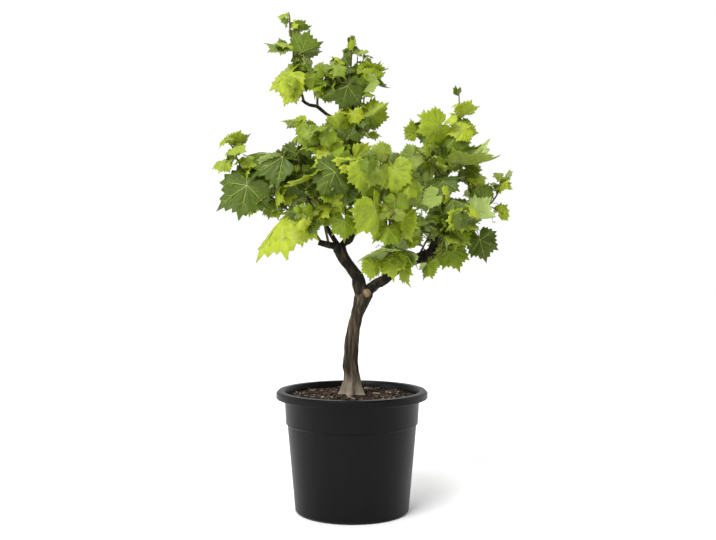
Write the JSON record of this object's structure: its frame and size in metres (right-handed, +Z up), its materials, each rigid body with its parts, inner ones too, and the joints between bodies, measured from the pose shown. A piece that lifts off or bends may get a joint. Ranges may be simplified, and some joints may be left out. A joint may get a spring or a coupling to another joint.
{
  "type": "potted grapevine",
  "caption": "Young grapevine in leaf on a short old forked trunk, growing in a round black nursery pot filled with bark mix.",
  "frame": {"origin": "middle of the pot's flat underside", "axes": "+Z up; +X to the right and +Y away from the viewer in the front view"},
  "size_m": [0.5972, 0.3649, 0.9903],
  "materials": {
    "pot": "satin",
    "soil": "matte",
    "bark": "matte",
    "leaf": "satin"
  },
  "bodies": {
    "root": {"pot": "pot", "soil": "soil", "trunk": "bark", "arm_left": "bark", "arm_right": "bark", "spur_left": "bark", "leader": "bark", "bough_top_left": "bark", "cane_right": "bark", "spur_right": "bark", "bough_back_left": "bark", "bough_back_right": "bark", "leaves_far_left": "leaf", "leaves_left": "leaf", "leaves_top_left": "leaf", "leaves_top_inner": "leaf", "leaves_top_centre": "leaf", "leaves_upper_left": "leaf", "leaves_centre": "leaf", "leaves_centre_right": "leaf", "leaves_front": "leaf", "leaves_right_top": "leaf", "leaves_right_outer": "leaf", "leaves_right_low": "leaf", "leaves_back_left": "leaf", "leaves_back_right": "leaf", "leaves_back_low": "leaf", "leaves_back_high": "leaf"}
  },
  "joints": []
}
